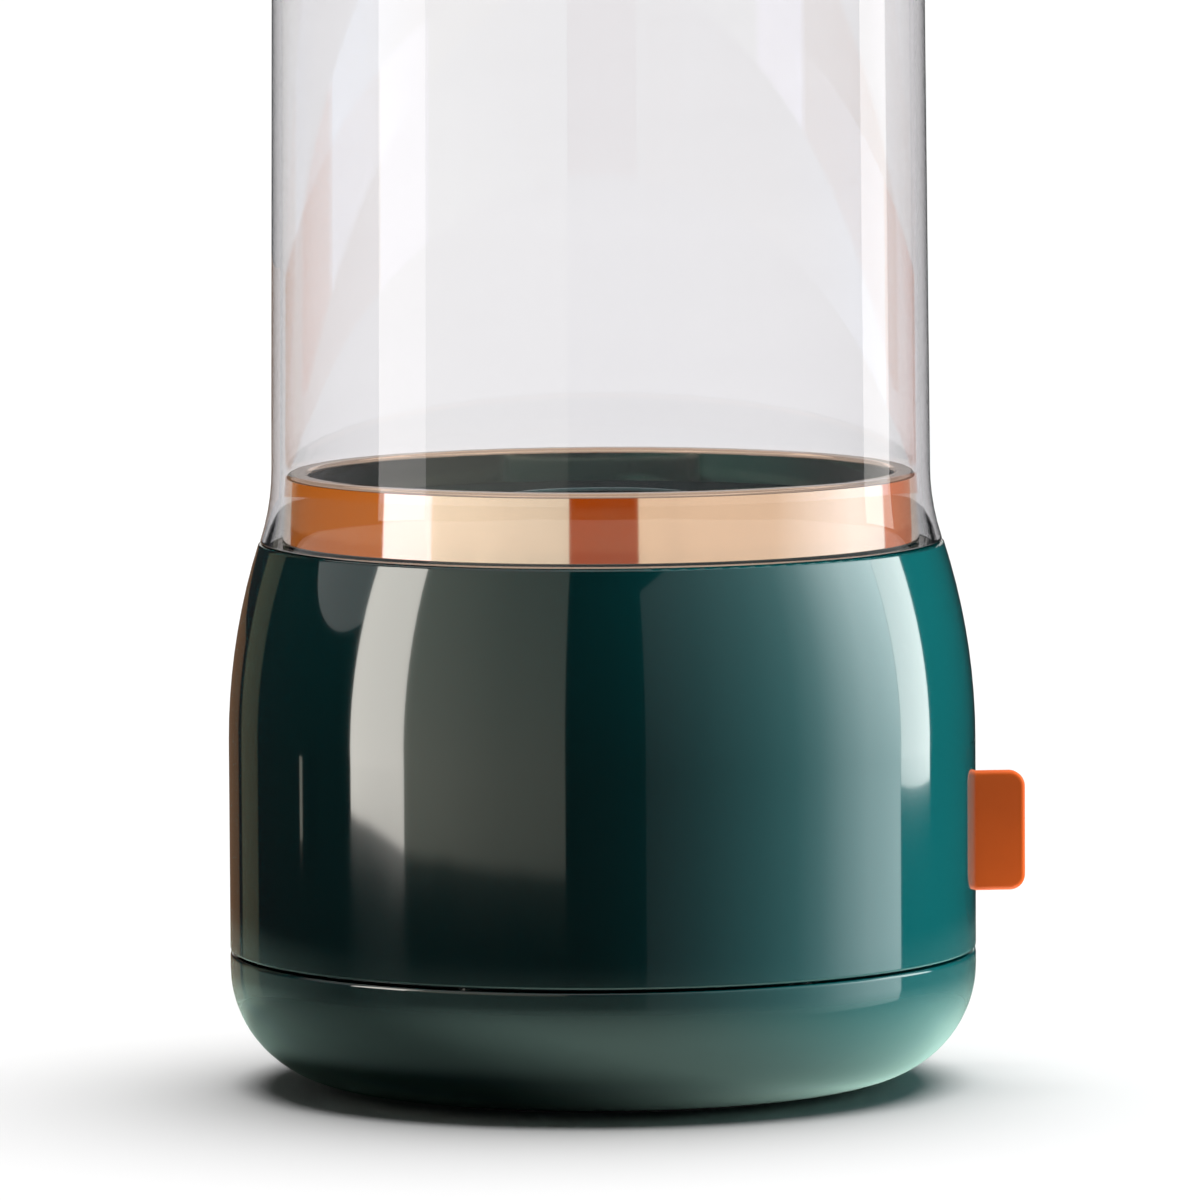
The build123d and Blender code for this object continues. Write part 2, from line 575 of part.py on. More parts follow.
# plated rim: a cap over the cup's collar that stands on the ledge
with BuildPart() as rim_ring:
    with BuildSketch(Plane.XZ) as rim_profile:
        with BuildLine():
            Polyline(
                (RIM_R_LOW, RIM_Z0), (RIM_R_TOP, RIM_Z1), (RIM_R_IN, RIM_Z1), (RIM_R_IN, RIM_Z1 - 6.0),
                (RIM_R_IN + 0.5, RIM_Z1 - 6.0), (RIM_R_IN + 0.5, RIM_Z1 - 1.1),
                (COLLAR_R_OUT + 0.15, RIM_Z1 - 1.1), (COLLAR_R_OUT + 0.15, RIM_Z0), close=True,
            )
        make_face()
        fillet(corner(rim_profile, RIM_R_TOP, RIM_Z1), 0.9)
        fillet(corner(rim_profile, RIM_R_IN, RIM_Z1), 0.9)
        fillet(corner(rim_profile, RIM_R_LOW, RIM_Z0), 0.25)
    revolve(axis=Axis.Z)
rim_ring.part.label = "rim_ring"
export_step(rim_ring.part, "parts/rim_ring.step")

# ---------------------------------------------------------------- clear cover
flare_h = COVER_WAIST_Z - COVER_Z0
flare_d = COVER_FOOT_R - COVER_WAIST_R
flare_R = (flare_h**2 + flare_d**2) / (2 * flare_d)
flare_c = COVER_WAIST_R + flare_R


def flare(radius, z):
    """Radius of the cover's flared foot at height z."""
    return flare_c - math.sqrt(radius**2 - (COVER_WAIST_Z - z) ** 2)


crown_h = COVER_TOP_Z - COVER_SHOULDER_Z
crown_R = (COVER_SHOULDER_R**2 + crown_h**2) / (2 * crown_h)


def crown(radius, r):
    """Height of the cover's crown at radius r, for a sphere of that radius."""
    return COVER_TOP_Z - crown_R + math.sqrt(radius**2 - r**2)


cr_in = crown_R - COVER_T
r_wall = COVER_SHOULDER_R - COVER_T
z_mid = COVER_Z0 + 0.5 * flare_h
fl_in = flare_R + COVER_T
with BuildPart() as clear_cover:
    with BuildSketch(Plane.XZ) as cover_profile:
        with BuildLine():
            ThreePointArc(
                (COVER_FOOT_R, COVER_Z0), (flare(flare_R, z_mid), z_mid), (COVER_WAIST_R, COVER_WAIST_Z)
            )
            Polyline((COVER_WAIST_R, COVER_WAIST_Z), (COVER_SHOULDER_R, COVER_SHOULDER_Z))
            ThreePointArc(
                (COVER_SHOULDER_R, COVER_SHOULDER_Z),
                (COVER_SHOULDER_R / 2, crown(crown_R, COVER_SHOULDER_R / 2)),
                (0, COVER_TOP_Z),
            )
            Polyline((0, COVER_TOP_Z), (0, COVER_TOP_Z - COVER_T))
            ThreePointArc(
                (0, COVER_TOP_Z - COVER_T),
                (r_wall / 2, crown(cr_in, r_wall / 2)),
                (r_wall, crown(cr_in, r_wall)),
            )
            Polyline(
                (r_wall, crown(cr_in, r_wall)),
                (COVER_WAIST_R - COVER_T, COVER_WAIST_Z),
            )
            ThreePointArc(
                (COVER_WAIST_R - COVER_T, COVER_WAIST_Z),
                (flare(fl_in, z_mid), z_mid),
                (flare(fl_in, COVER_Z0), COVER_Z0),
            )
            Polyline((flare(fl_in, COVER_Z0), COVER_Z0), (COVER_FOOT_R, COVER_Z0))
        make_face()
        fillet(corner(cover_profile, COVER_SHOULDER_R, COVER_SHOULDER_Z), COVER_ROUND)
        fillet(corner(cover_profile, r_wall, crown(cr_in, r_wall)), COVER_ROUND - COVER_T)
        fillet(corner(cover_profile, COVER_FOOT_R, COVER_Z0), 0.35)
    revolve(axis=Axis.Z)
clear_cover.part.label = "clear_cover"
export_step(clear_cover.part, "parts/clear_cover.step")
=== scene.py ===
"""Looks of the rotating makeup brush holder: gloss teal-green body on a turning
bowl, rose-gold plated rim, clear cover and a terracotta drawer tab."""

import json
import math

import bpy
from mathutils import Matrix, Vector


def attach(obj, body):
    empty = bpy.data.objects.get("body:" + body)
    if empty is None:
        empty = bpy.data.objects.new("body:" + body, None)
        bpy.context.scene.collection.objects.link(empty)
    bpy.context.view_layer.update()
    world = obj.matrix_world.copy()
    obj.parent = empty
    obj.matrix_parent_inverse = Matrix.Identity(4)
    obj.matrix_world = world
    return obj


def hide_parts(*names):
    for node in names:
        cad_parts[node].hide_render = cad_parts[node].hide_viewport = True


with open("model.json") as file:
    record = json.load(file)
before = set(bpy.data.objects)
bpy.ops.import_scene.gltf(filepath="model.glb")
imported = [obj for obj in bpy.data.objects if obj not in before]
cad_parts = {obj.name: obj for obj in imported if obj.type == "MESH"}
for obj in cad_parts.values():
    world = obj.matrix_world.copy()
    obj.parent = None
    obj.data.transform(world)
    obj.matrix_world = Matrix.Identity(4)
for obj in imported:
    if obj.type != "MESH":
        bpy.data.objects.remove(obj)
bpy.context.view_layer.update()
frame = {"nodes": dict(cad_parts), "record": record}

scene = bpy.context.scene
nodes = frame["nodes"]


# ------------------------------------------------------------------ materials
class Mat:
    """A node material round one Principled shader, with a few procedural layers."""

    def __init__(self, name):
        self.mat = bpy.data.materials.new(name)
        self.mat.use_nodes = True
        self.tree = self.mat.node_tree
        self.tree.nodes.clear()
        self.out = self.node("ShaderNodeOutputMaterial")
        self.bsdf = self.node("ShaderNodeBsdfPrincipled")
        self.link(self.bsdf, "BSDF", self.out, "Surface")
        self.coord = self.node("ShaderNodeTexCoord")

    def node(self, kind, **props):
        n = self.tree.nodes.new(kind)
        for k, v in props.items():
            setattr(n, k, v)
        return n

    def link(self, a, out, b, inp):
        self.tree.links.new(a.outputs[out], b.inputs[inp])

    def set(self, **values):
        for k, v in values.items():
            self.bsdf.inputs[k.replace("_", " ")].default_value = v
        return self

    def mapping(self, scale):
        m = self.node("ShaderNodeMapping")
        m.inputs["Scale"].default_value = scale
        self.link(self.coord, "Object", m, "Vector")
        return m

    def noise(self, scale, detail=3.0, rough=0.55, stretch=(1, 1, 1)):
        n = self.node("ShaderNodeTexNoise")
        n.inputs["Scale"].default_value = scale
        n.inputs["Detail"].default_value = detail
        n.inputs["Roughness"].default_value = rough
        self.link(self.mapping(stretch), "Vector", n, "Vector")
        return n

    def spread(self, source, out, low, high, from_low=0.3, from_high=0.7):
        r = self.node("ShaderNodeMapRange")
        r.inputs["From Min"].default_value = from_low
        r.inputs["From Max"].default_value = from_high
        r.inputs["To Min"].default_value = low
        r.inputs["To Max"].default_value = high
        self.link(source, out, r, "Value")
        return r

    def tint(self, source, out, a, b, low=0.3, high=0.7):
        ramp = self.node("ShaderNodeValToRGB")
        ramp.color_ramp.elements[0].position = low
        ramp.color_ramp.elements[1].position = high
        ramp.color_ramp.elements[0].color = (*a, 1)
        ramp.color_ramp.elements[1].color = (*b, 1)
        self.link(source, out, ramp, "Fac")
        self.link(ramp, "Color", self.bsdf, "Base Color")
        return ramp

    def bump(self, source, out, distance, strength=1.0, under=None):
        b = self.node("ShaderNodeBump")
        b.inputs["Distance"].default_value = distance
        b.inputs["Strength"].default_value = strength
        self.link(source, out, b, "Height")
        if under is not None:
            self.link(under, "Normal", b, "Normal")
        self.link(b, "Normal", self.bsdf, "Normal")
        return b


def gloss_green():
    m = Mat("green_gloss")
    m.set(IOR=1.5, Coat_Weight=1.0, Coat_IOR=1.5, Coat_Roughness=0.02)
    flow = m.noise(9.0, 2.0)
    m.tint(flow, "Fac", (0.0004, 0.0280, 0.0290), (0.0007, 0.0332, 0.0345))
    smear = m.noise(38.0, 5.0, 0.62, (1, 1, 0.45))
    m.link(m.spread(smear, "Fac", 0.045, 0.085), "Result", m.bsdf, "Roughness")
    wave = m.noise(24.0, 1.0)
    m.bump(wave, "Fac", 0.00012, 0.12)
    return m.mat


def satin_green():
    m = Mat("green_satin")
    m.set(IOR=1.5)
    flow = m.noise(14.0, 3.0)
    m.tint(flow, "Fac", (0.0010, 0.032, 0.032), (0.0016, 0.042, 0.041))
    fine = m.noise(2600.0, 2.0)
    m.link(m.spread(flow, "Fac", 0.30, 0.42), "Result", m.bsdf, "Roughness")
    m.bump(fine, "Fac", 0.00003, 0.35)
    return m.mat


def rose_gold():
    m = Mat("rose_gold")
    m.set(Metallic=1.0)
    cloud = m.noise(16.0, 3.0)
    m.tint(cloud, "Fac", (0.84, 0.605, 0.435), (0.88, 0.655, 0.485))
    smear = m.noise(70.0, 5.0, 0.6, (1, 1, 0.3))
    m.link(m.spread(smear, "Fac", 0.045, 0.085), "Result", m.bsdf, "Roughness")
    wave = m.noise(30.0, 1.0)
    m.bump(wave, "Fac", 0.0001, 0.14)
    return m.mat


def terracotta():
    m = Mat("terracotta")
    m.set(IOR=1.46, Specular_IOR_Level=0.35)
    flow = m.noise(60.0, 3.0)
    m.tint(flow, "Fac", (0.575, 0.086, 0.0075), (0.645, 0.100, 0.010))
    m.link(m.spread(flow, "Fac", 0.42, 0.52), "Result", m.bsdf, "Roughness")
    fine = m.noise(3200.0, 2.0)
    m.bump(fine, "Fac", 0.00003, 0.35)
    return m.mat


def clear():
    m = Mat("clear")
    m.set(IOR=1.47, Transmission_Weight=1.0)
    flow = m.noise(11.0, 2.0)
    m.tint(flow, "Fac", (0.975, 0.975, 0.985), (0.99, 0.99, 0.995))
    smear = m.noise(30.0, 6.0, 0.65, (1, 1, 0.35))
    m.link(m.spread(smear, "Fac", 0.004, 0.025, 0.35, 0.75), "Result", m.bsdf, "Roughness")
    # a faint grey-lilac body colour that shows where the wall is seen on edge
    inside = m.node("ShaderNodeVolumeAbsorption")
    inside.inputs["Color"].default_value = (0.707, 0.687, 0.71, 1)
    inside.inputs["Density"].default_value = 150.0
    m.link(inside, "Volume", m.out, "Volume")
    # lamps reach what stands inside
    path = m.node("ShaderNodeLightPath")
    through = m.node("ShaderNodeBsdfTransparent")
    through.inputs["Color"].default_value = (0.94, 0.945, 0.955, 1)
    mix = m.node("ShaderNodeMixShader")
    m.link(path, "Is Shadow Ray", mix, 0)
    m.tree.links.new(m.bsdf.outputs["BSDF"], mix.inputs[1])
    m.tree.links.new(through.outputs["BSDF"], mix.inputs[2])
    m.link(mix, "Shader", m.out, "Surface")
    return m.mat


def rubber():
    m = Mat("rubber")
    grain = m.noise(900.0, 4.0)
    m.tint(grain, "Fac", (0.012, 0.012, 0.012), (0.022, 0.022, 0.022))
    m.link(m.spread(grain, "Fac", 0.7, 0.9), "Result", m.bsdf, "Roughness")
    m.bump(grain, "Fac", 0.00008, 0.5)
    return m.mat


def black_plastic():
    m = Mat("black_plastic")
    grain = m.noise(1500.0, 3.0)
    cloud = m.noise(20.0, 3.0)
    m.tint(cloud, "Fac", (0.012, 0.012, 0.013), (0.020, 0.020, 0.022))
    m.link(m.spread(cloud, "Fac", 0.42, 0.58), "Result", m.bsdf, "Roughness")
    m.bump(grain, "Fac", 0.00004, 0.4)
    return m.mat


def white_plastic():
    m = Mat("white_plastic")
    cloud = m.noise(40.0, 3.0)
    m.set(Subsurface_Weight=0.08)
    m.tint(cloud, "Fac", (0.70, 0.70, 0.67), (0.78, 0.78, 0.75))
    m.link(m.spread(cloud, "Fac", 0.34, 0.46), "Result", m.bsdf, "Roughness")
    grain = m.noise(1500.0, 3.0)
    m.bump(grain, "Fac", 0.00003, 0.3)
    return m.mat


def steel():
    m = Mat("steel")
    m.set(Metallic=1.0)
    cloud = m.noise(180.0, 4.0)
    m.tint(cloud, "Fac", (0.50, 0.51, 0.53), (0.62, 0.62, 0.63))
    m.link(m.spread(cloud, "Fac", 0.20, 0.34), "Result", m.bsdf, "Roughness")
    brushed = m.noise(900.0, 2.0, 0.5, (1, 1, 0.1))
    m.bump(brushed, "Fac", 0.00001, 0.3)
    return m.mat


finish = {
    "green_gloss": gloss_green(),
    "green_satin": satin_green(),
    "rose_gold": rose_gold(),
    "terracotta": terracotta(),
    "clear": clear(),
    "rubber": rubber(),
    "black_plastic": black_plastic(),
    "white_plastic": white_plastic(),
    "steel": steel(),
}
for entry in frame["record"]["subparts"]:
    obj = nodes[entry["node"]]
    mat = finish[entry["material_slot"]]
    if not obj.material_slots:
        obj.data.materials.append(mat)
    for s in obj.material_slots:
        s.material = mat

# ---------------------------------------------------- finer skins of turned pieces
shown = dict(nodes)
slot_of = {e["node"]: e["material_slot"] for e in frame["record"]["subparts"]}
body_of = {n: b for b, names in frame["record"]["behaviour"]["bodies"].items() for n in names}


def stands_for(obj, node):
    """Put a finer piece in a CAD node's place."""
    scene.collection.objects.link(obj)
    obj.data.materials.clear()
    obj.data.materials.append(finish[slot_of[node]])
    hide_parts(node)
    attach(obj, body_of[node])
    shown[node] = obj


def true_skin(node, rule):
    """The node's own mesh with the exact normals of its turned outside. rule gives the
    outward direction (radial, up) at a radius and height in mm, or None off the skin."""
    source = nodes[node].data
    mesh = source.copy()
    mesh.name = node + "_skin"
    normals = [n.vector.copy() for n in source.corner_normals]
    for face in mesh.polygons:
        exact = []
        for i in face.loop_indices:
            v = mesh.vertices[mesh.loops[i].vertex_index].co
            r = math.hypot(v.x, v.y)
            way = rule(r * 1000, v.z * 1000)
            if way is None:
                break
            exact.append(Vector((v.x / r * way[0], v.y / r * way[0], way[1])))
        if len(exact) == len(face.loop_indices) and face.normal.dot(exact[0]) > 0.98:
            for i, n in zip(face.loop_indices, exact):
                normals[i] = n
    mesh.normals_split_custom_set(normals)
    stands_for(bpy.data.objects.new(node + "_skin", mesh), node)


def on_arc(r, z, r0, z0, radius):
    """Direction from an arc's centre, if the point lies on that arc."""
    d = math.hypot(r - r0, z - z0)
    return ((r - r0) / d, (z - z0) / d) if abs(d - radius) < 0.03 else None


def shell_rule(r, z):
    if z < 25.1:
        return None
    if z <= 62.0:
        return (1.0, 0.0) if abs(r - 67.0) < 0.03 else None
    return on_arc(r, z, -49.0, 62.0, 116.0)


def bowl_rule(r, z):
    if z > 23.7 or r < 46.5:
        return None
    if z >= 21.5:
        return (1.0, 0.0) if abs(r - 67.0) < 0.03 else None
    return on_arc(r, z, 46.5, 21.5, 20.5)


true_skin("body_shell", shell_rule)
true_skin("base_bowl", bowl_rule)


def turned(node, corners, steps=360, arc_steps=10):
    """A turned ring of fine facets. corners are (radius, height, round) in mm, outside
    going up first; each edge and round keeps its own normals."""
    points = []          # (r, z, normal) pairs, two for each band
    count = len(corners)
    ends = []
    for i, (r, z, rad) in enumerate(corners):
        a = Vector(corners[i - 1][:2]) - Vector((r, z))
        b = Vector(corners[(i + 1) % count][:2]) - Vector((r, z))
        a.normalize(), b.normalize()
        if rad > 0:
            half = a.angle(b) / 2
            t = rad / math.tan(half)
            centre = Vector((r, z)) + (a + b).normalized() * (rad / math.sin(half))
            ends.append((Vector((r, z)) + a * t, Vector((r, z)) + b * t, centre, rad))
        else:
            ends.append((Vector((r, z)), Vector((r, z)), None, 0))
    bands = []
    for i, (start, end, centre, rad) in enumerate(ends):
        if rad > 0:
            ns, ne = (start - centre).normalized(), (end - centre).normalized()
            dirs = [ns.slerp(ne, k / arc_steps) for k in range(arc_steps + 1)]
            for d, e in zip(dirs, dirs[1:]):
                bands.append((centre + d * rad, d, centre + e * rad, e))
        nxt = ends[(i + 1) % count][0]
        along = (nxt - end).normalized()
        out = Vector((along.y, -along.x))
        bands.append((end, out, nxt, out))
    verts, faces, normals = [], [], []
    turn = [(math.cos(2 * math.pi * k / steps), math.sin(2 * math.pi * k / steps)) for k in range(steps)]
    for p0, _, _, _ in bands:
        verts += [(p0.x * c / 1000, p0.x * s / 1000, p0.y / 1000) for c, s in turn]
    for i, (p0, n0, p1, n1) in enumerate(bands):
        j = (i + 1) % len(bands)
        for k in range(steps):
            m = (k + 1) % steps
            faces.append((i * steps + k, i * steps + m, j * steps + m, j * steps + k))
            (c, s), (c2, s2) = turn[k], turn[m]
            normals += [
                (n0.x * c, n0.x * s, n0.y), (n0.x * c2, n0.x * s2, n0.y),
                (n1.x * c2, n1.x * s2, n1.y), (n1.x * c, n1.x * s, n1.y),
            ]
    mesh = bpy.data.meshes.new(node + "_turned")
    mesh.from_pydata(verts, [], faces)
    mesh.polygons.foreach_set("use_smooth", [True] * len(faces))
    mesh.update()
    mesh.normals_split_custom_set(normals)
    stands_for(bpy.data.objects.new(node + "_turned", mesh), node)


turned("rim_ring", (
    (57.0, 97.9, 0.25), (56.3, 110.5, 0.9), (52.4, 110.5, 0.9), (52.4, 104.5, 0), (52.9, 104.5, 0),
    (52.9, 109.4, 0), (55.35, 109.4, 0), (55.35, 97.9, 0),
))

# ------------------------------------------------------------------ the stage
def pale(name, low, high):
    m = Mat(name)
    cloud = m.noise(2.0, 3.0)
    m.tint(cloud, "Fac", low, high)
    m.set(Roughness=0.7)
    m.bsdf.inputs["Specular IOR Level"].default_value = 0.2
    return m.mat


def disc(name, mat, r_in, r_out, z, steps=128):
    verts, faces = [], []
    for i in range(steps):
        a = 2 * math.pi * i / steps
        c, s = math.cos(a), math.sin(a)
        if r_in > 0:
            verts.append((r_in * c, r_in * s, z))
        verts.append((r_out * c, r_out * s, z))
    if r_in > 0:
        for i in range(steps):
            j = (i + 1) % steps
            faces.append((2 * i, 2 * i + 1, 2 * j + 1, 2 * j))
    else:
        faces.append(tuple(range(steps)))
    mesh = bpy.data.meshes.new(name)
    mesh.from_pydata(verts, [], faces)
    mesh.update()
    obj = bpy.data.objects.new(name, mesh)
    scene.collection.objects.link(obj)
    obj.data.materials.append(mat)
    return obj


white = pale("stage_pale", (0.815, 0.812, 0.808), (0.835, 0.832, 0.828))
for name, r_in, r_out in (("floor_near", 0.0, 0.24), ("floor_far", 0.24, 14.0)):
    floor = disc(name, white, r_in, r_out, 0.0)
    floor.visible_glossy = False
    floor.visible_diffuse = name == "floor_far"


def mirrored_floor():
    """Grey-green floor that fades out away from the object, and is weaker behind it."""
    m = Mat("stage_grey")
    m.tint(m.noise(2.0, 3.0), "Fac", (0.262, 0.396, 0.344), (0.280, 0.422, 0.366))
    m.set(Roughness=0.7, Specular_IOR_Level=0.2)
    far = m.node("ShaderNodeVectorMath", operation="LENGTH")
    m.link(m.coord, "Object", far, 0)
    out = m.node("ShaderNodeValToRGB")
    steps = out.color_ramp.elements
    fade = ((0.078, 1.0), (0.0885, 0.9), (0.119, 0.62), (0.15, 0.42), (0.2, 0.25), (0.25, 0.15), (0.30, 0.0))
    while len(steps) < len(fade):
        steps.new(0.5)
    for step, (r, f) in zip(steps, fade):
        step.position = r
        step.color = (f, f, f, 1)
    m.link(far, "Value", out, "Fac")
    way = m.node("ShaderNodeVectorMath", operation="NORMALIZE")
    m.link(m.coord, "Object", way, 0)
    front = m.node("ShaderNodeVectorMath", operation="DOT_PRODUCT")
    front.inputs[1].default_value = (-0.11, -0.99, 0.0)
    m.link(way, "Vector", front, 0)
    back = m.spread(front, "Value", 0.45, 1.0, -0.8, 0.0)
    both = m.node("ShaderNodeMath", operation="MULTIPLY")
    m.link(out, "Color", both, 0)
    m.link(back, "Result", both, 1)
    m.link(both, "Value", m.bsdf, "Alpha")
    return m.mat


floor_seen = disc("floor_seen", mirrored_floor(), 0.0, 0.30, 0.0004)     # only the gloss mirrors it
floor_seen.visible_camera = False
floor_seen.visible_diffuse = False
floor_seen.visible_transmission = False
floor_seen.visible_shadow = False
shown["floor_seen"] = floor_seen

world = bpy.data.worlds.new("studio")
scene.world = world
world.use_nodes = True
bg = world.node_tree.nodes["Background"]
bg.inputs["Color"].default_value = (0.80, 0.86, 0.90, 1)
bg.inputs["Strength"].default_value = 0.02


VIEW = 6.5      # degrees that the drawer's way out points away from the camera
GLOSS = ("base_bowl", "body_shell", "drawer_front")


def only(light, names):
    """Let a light reach these pieces and nothing else."""
    group = bpy.data.collections.new(light.name + "_reach")
    for name in names:
        group.objects.link(shown[name])
    light.light_linking.receiver_collection = group


def panel(name, az0, az1, z0, z1, radiance, colour=(1, 1, 1), shape="RECTANGLE", distance=1.6,
          seen="both"):
    """A soft panel that faces the axis and fills the angles az0 to az1 round it, seen only
    in reflections. Azimuth 0 is the camera's side, positive to the camera's right.
    seen says if it shows in the gloss only, or through the clear cover as well."""
    mid, half = (az0 + az1) / 2, math.tan(math.radians(az1 - az0) / 2)
    a = math.radians(mid - VIEW)
    width = 2 * distance * half
    light = bpy.data.lights.new(name, "AREA")
    light.shape = shape
    light.size, light.size_y = width, z1 - z0
    area = width * (z1 - z0) * (math.pi / 4 if shape == "ELLIPSE" else 1)
    light.energy = radiance * math.pi * area
    light.color = colour
    obj = bpy.data.objects.new(name, light)
    scene.collection.objects.link(obj)
    place = Vector((distance * math.sin(a), -distance * math.cos(a), (z0 + z1) / 2))
    look = Vector((-math.sin(a), math.cos(a), 0))
    obj.matrix_world = Matrix.Translation(place) @ look.to_track_quat("-Z", "Y").to_matrix().to_4x4()
    obj.visible_camera = False
    obj.visible_diffuse = False
    obj.visible_transmission = seen != "gloss"
    return obj


right_band = panel("right_band", 102.9, 119, -0.1065, 1.2, 4.3, (1.0, 0.995, 0.97), seen="gloss")
panel("left_strip", -105, -103.6, -0.122, -0.075, 0.9, (1.0, 0.97, 0.82), seen="gloss")
panel("left_back", -180, -150, -0.5, 0.06, 0.12, (1.0, 0.52, 0.24), seen="gloss")
left_high = panel("left_high", -113, -77, 0.38, 1.12, 0.6, (0.97, 1.0, 0.98), "ELLIPSE", seen="gloss")
panel("behind", 168, 192, 0.15, 0.60, 0.55, (1.0, 0.95, 0.90))
panel("left_olive", -146, -131, -0.4, 1.0, 0.10, (1.0, 0.95, 0.55), seen="gloss")


def glowing(name, verts, faces, colours, emit_only_after_reflection=False):
    """A stage mesh that gives light by the colours of its corners."""
    m = Mat(name)
    glow = m.node("ShaderNodeVertexColor", layer_name="glow")
    shine = m.node("ShaderNodeEmission")
    m.link(glow, "Color", shine, "Color")
    m.link(shine, "Emission", m.out, "Surface")
    if emit_only_after_reflection:
        path = m.node("ShaderNodeLightPath")
        gone = m.node("ShaderNodeBsdfTransparent")
        mix = m.node("ShaderNodeMixShader")
        m.link(path, "Glossy Depth", mix, 0)
        m.tree.links.new(gone.outputs["BSDF"], mix.inputs[1])
        m.tree.links.new(shine.outputs["Emission"], mix.inputs[2])
        m.link(mix, "Shader", m.out, "Surface")
    m.mat.cycles.emission_sampling = "NONE"
    mesh = bpy.data.meshes.new(name)
    mesh.from_pydata(verts, [], faces)
    mesh.update()
    layer = mesh.color_attributes.new("glow", "FLOAT_COLOR", "POINT")
    layer.data.foreach_set("color", [v for c in colours for v in (*c, 1.0)])
    obj = bpy.data.objects.new(name, mesh)
    scene.collection.objects.link(obj)
    obj.data.materials.append(m.mat)
    obj.visible_camera = False
    obj.visible_diffuse = False
    obj.visible_shadow = False
    return obj


def screen(name, steps, z1, colour, rise=(1.0, 1.0), soft=0.0, flat=False, distance=1.6, rows=8):
    """An upright screen round the axis, or a flat one like a panel. steps are (azimuth,
    factor, foot). The radiance also changes from foot to top, and fades out below the foot."""
    mid = (steps[0][0] + steps[-1][0]) / 2
    columns = []
    for (u, f, p), (v, g, q) in zip(steps, steps[1:]):
        a, b = (math.tan(math.radians(w - mid)) if flat else math.radians(w) for w in (u, v))
        columns += [(a + (b - a) * i / 8, f + (g - f) * i / 8, p + (q - p) * i / 8) for i in range(8)]
    columns.append((b, steps[-1][1], steps[-1][2]))
    verts, colours, faces = [], [], []
    for x, f, foot in columns:
        a = math.radians(mid - VIEW) if flat else x - math.radians(VIEW)
        out, along = Vector((math.sin(a), -math.cos(a))), Vector((math.cos(a), math.sin(a)))
        at = out * distance + along * (distance * x if flat else 0)
        ladder = [(foot - soft, 0.0)] if soft else []
        for k in range(rows + 1):
            t = k / rows
            ladder.append((foot + (z1 - foot) * t, f * (rise[0] + (rise[1] - rise[0]) * t)))
        for z, glow in ladder:
            verts.append((at.x, at.y, z))
            colours.append([c * glow for c in colour])
    high = len(ladder)
    for i in range(len(columns) - 1):
        for k in range(high - 1):
            n = i * high + k
            faces.append((n, n + high, n + high + 1, n + 1))
    obj = glowing(name, verts, faces, colours)
    obj.visible_transmission = False
    return obj


left_band = screen("left_band", ((-82, 6.3, -0.1085), (-75, 6.3, -0.1120), (-62, 6.3, -0.1195)),
                   1.2, (1.0, 0.96, 0.88), soft=0.004)
screen("left_main", ((-62, 1.05, -0.1195), (-45, 0.85, -0.1215), (-30, 0.66, -0.1235), (-11, 0.55, -0.1245)),
       1.2, (1.0, 1.0, 0.83), (1.0, 0.72), soft=0.006)
right_main = screen("right_main", (
    (13, 0.12, -0.5), (30, 0.17, -0.5), (48, 0.27, -0.5), (60, 0.40, -0.5), (69, 0.75, -0.5), (78, 1.45, -0.5),
    (88, 2.1, -0.5), (103.3, 2.5, -0.5),
), 1.2, (0.95, 1.0, 1.0), (0.65, 2.1), flat=True)

# the strong ones leave out the clear cover, which has its own low pair
for strong in (left_band, right_band, left_high, right_main):
    only(strong, [n for n in nodes if n != "clear_cover"])
only(panel("cover_left", -82, -62, 0.0, 0.3, 3.2, (1.0, 0.97, 0.92), distance=1.45, seen="gloss"), ("clear_cover",))
only(panel("cover_right", 103, 119, 0.0, 0.3, 2.6, (1.0, 0.97, 0.92), distance=1.45, seen="gloss"), ("clear_cover",))


# pale walls above the horizon, for the clear cover's top
for k in range(8):
    wall = panel("wall_%d" % k, 45 * k - 22.5, 45 * k + 22.5, 0.32, 1.7, 0.5, distance=1.4)
    only(wall, ("clear_cover",))


def card(name, steps, distance=1.6):
    """A coloured strip round the axis, where the plated rim mirrors it through the clear
    cover. It shows only after a reflection, so the cover stays clear when it is looked
    through. steps are (azimuth, colour); two at one azimuth make an edge."""
    verts, faces, colours = [], [], []
    for (az0, c0), (az1, c1) in zip(steps, steps[1:]):
        count = round(abs(az1 - az0) / 2)
        for i in range(count + 1 if count else 0):
            t = i / count
            az = az0 + (az1 - az0) * t
            rise = math.asin(0.1105 * math.cos(math.radians(az / 2)) - 0.0806)
            z = 0.104 + distance * math.tan(rise)
            a = math.radians(az - VIEW)
            x, y = distance * math.sin(a), -distance * math.cos(a)
            verts += [(x, y, max(z - 0.035, 0.001)), (x, y, z + 0.035)]
            colours += [[u + (v - u) * t for u, v in zip(c0, c1)]] * 2
            if i:
                n = len(verts)
                faces.append((n - 4, n - 2, n - 1, n - 3))
    glowing(name, verts, faces, colours, True).visible_glossy = False


card("rim_card", (
    (-146, (0.62, 0.21, 0.03)), (-83, (0.72, 0.25, 0.036)),          # warm far side
    (-83, (2.3, 2.2, 2.6)), (-62, (2.3, 2.2, 2.6)),                  # bright strip
    (-62, (1.5, 1.58, 1.48)), (-11, (1.02, 1.08, 1.02)),             # left screen
    (-11, (0.50, 0.10, 0.005)), (13, (0.50, 0.10, 0.005)),           # dark gap
    (13, (1.17, 1.09, 0.94)), (64, (1.2, 1.14, 1.03)),               # right screen
    (100, (1.85, 2.1, 2.4)), (120, (1.85, 2.1, 2.4)),
    (120, (1.05, 0.45, 0.30)), (146, (0.9, 0.39, 0.26)),             # warm far side
))


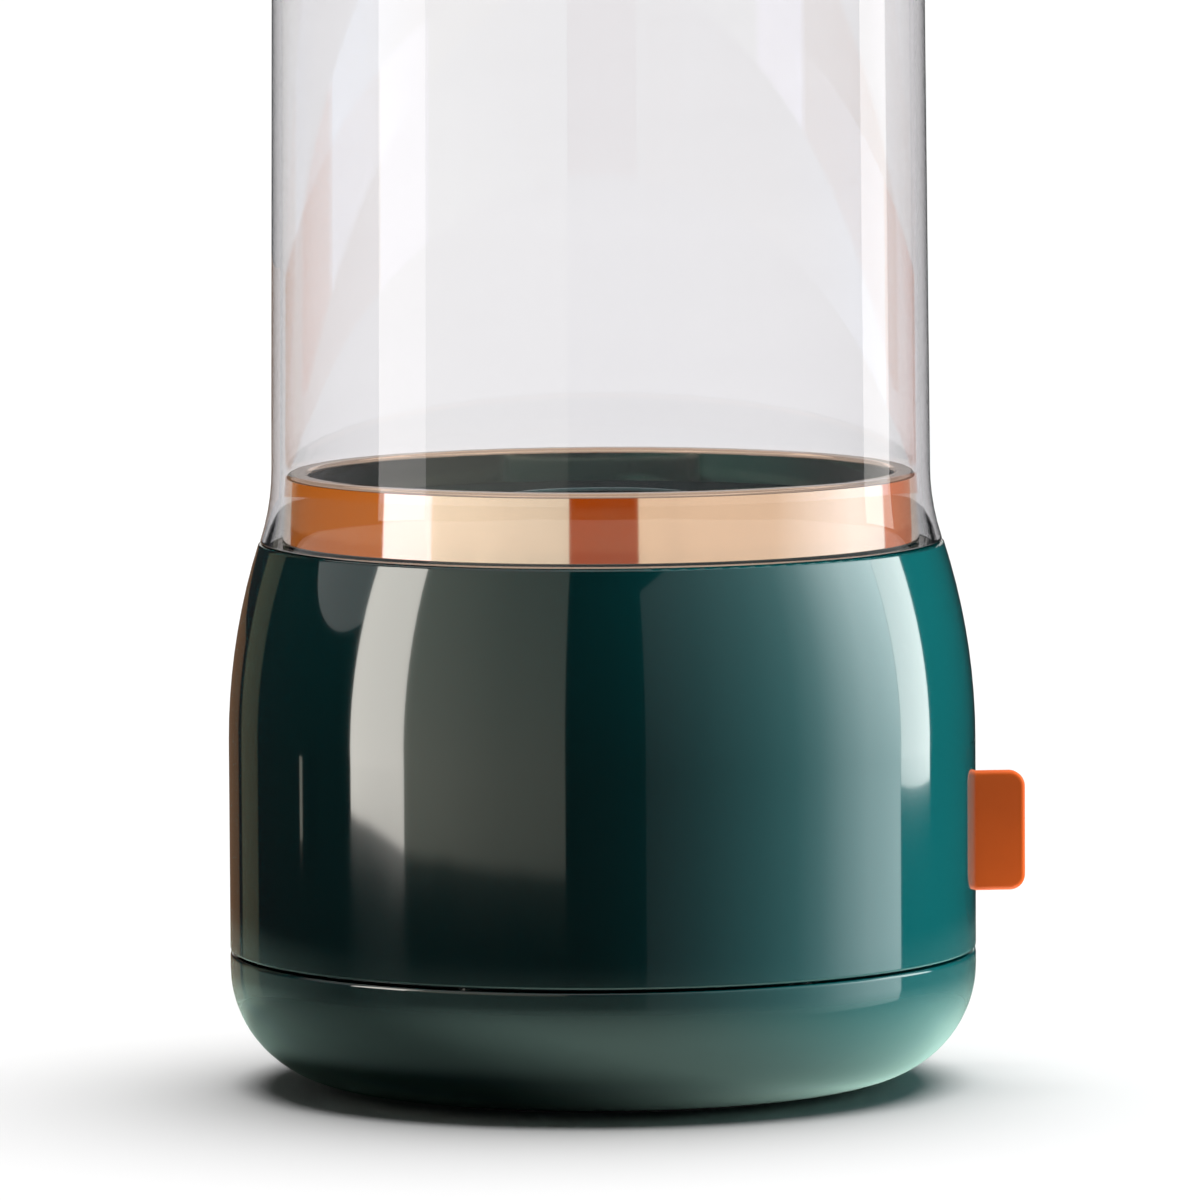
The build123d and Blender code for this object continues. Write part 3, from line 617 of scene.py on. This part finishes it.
def flat_panel(name, at, size, facing, radiance, colour):
    """A level square panel that faces up or down."""
    light = bpy.data.lights.new(name, "AREA")
    light.shape = "SQUARE"
    light.size = size
    light.energy = radiance * math.pi * size * size
    light.color = colour
    obj = bpy.data.objects.new(name, light)
    scene.collection.objects.link(obj)
    look = Vector((0, 0, facing))
    obj.matrix_world = Matrix.Translation(at) @ look.to_track_quat("-Z", "Y").to_matrix().to_4x4()
    obj.visible_camera = False
    return obj


top = flat_panel("top", (0, 0, 1.5), 3.0, -1, 0.7, (1.0, 0.97, 0.93))
top.visible_diffuse = False
bounce = flat_panel("bounce", (0.074, 0, 0.002), 0.05, 1, 6.5, (1.0, 0.95, 0.9))
bounce.visible_glossy = False
bounce.visible_transmission = False
only(bounce, ("pull_tab",))
fill = panel("fill", 30, 90, 0.05, 0.5, 3.8)
fill.visible_diffuse = True
fill.visible_glossy = False
fill.visible_transmission = False
only(fill, ("pull_tab",))


def sun(name, azimuth, elevation, strength, spread, reach=None):
    """Even light from one side, for the matt surfaces only."""
    light = bpy.data.lights.new(name, "SUN")
    light.energy = strength
    light.angle = math.radians(spread)
    obj = bpy.data.objects.new(name, light)
    scene.collection.objects.link(obj)
    a, e = math.radians(azimuth - VIEW), math.radians(elevation)
    look = Vector((-math.cos(e) * math.sin(a), math.cos(e) * math.cos(a), -math.sin(e)))
    obj.matrix_world = look.to_track_quat("-Z", "Y").to_matrix().to_4x4()
    obj.visible_glossy = False
    obj.visible_transmission = False
    if reach:
        only(obj, reach)
    return obj


sun("key", 105, 12, 28.0, 40, GLOSS + ("floor_seen",))
sun("side", 105, 12, 6.0, 40, [n for n in nodes if n not in GLOSS and n != "clear_cover"])
sun("overhead", 150, 78, 4.3, 60)

# ----------------------------------------------------------------- the camera
cam = bpy.data.cameras.new("camera")
cam.sensor_width = 36.0
cam.lens = 335.8
cam.clip_end = 50
camera = bpy.data.objects.new("camera", cam)
scene.collection.objects.link(camera)
turn_view = Matrix.Rotation(math.radians(-VIEW), 3, "Z")
eye = turn_view @ Vector((-0.00025, -2.0, 0.262))
aim = turn_view @ Vector((-0.00025, 0.0, 0.087))
turn = (aim - eye).to_track_quat("-Z", "Y").to_matrix().to_4x4()
camera.matrix_world = Matrix.Translation(eye) @ turn @ Matrix.Rotation(math.radians(-0.3), 4, "Z")
scene.camera = camera
scene.view_settings.view_transform = "Standard"
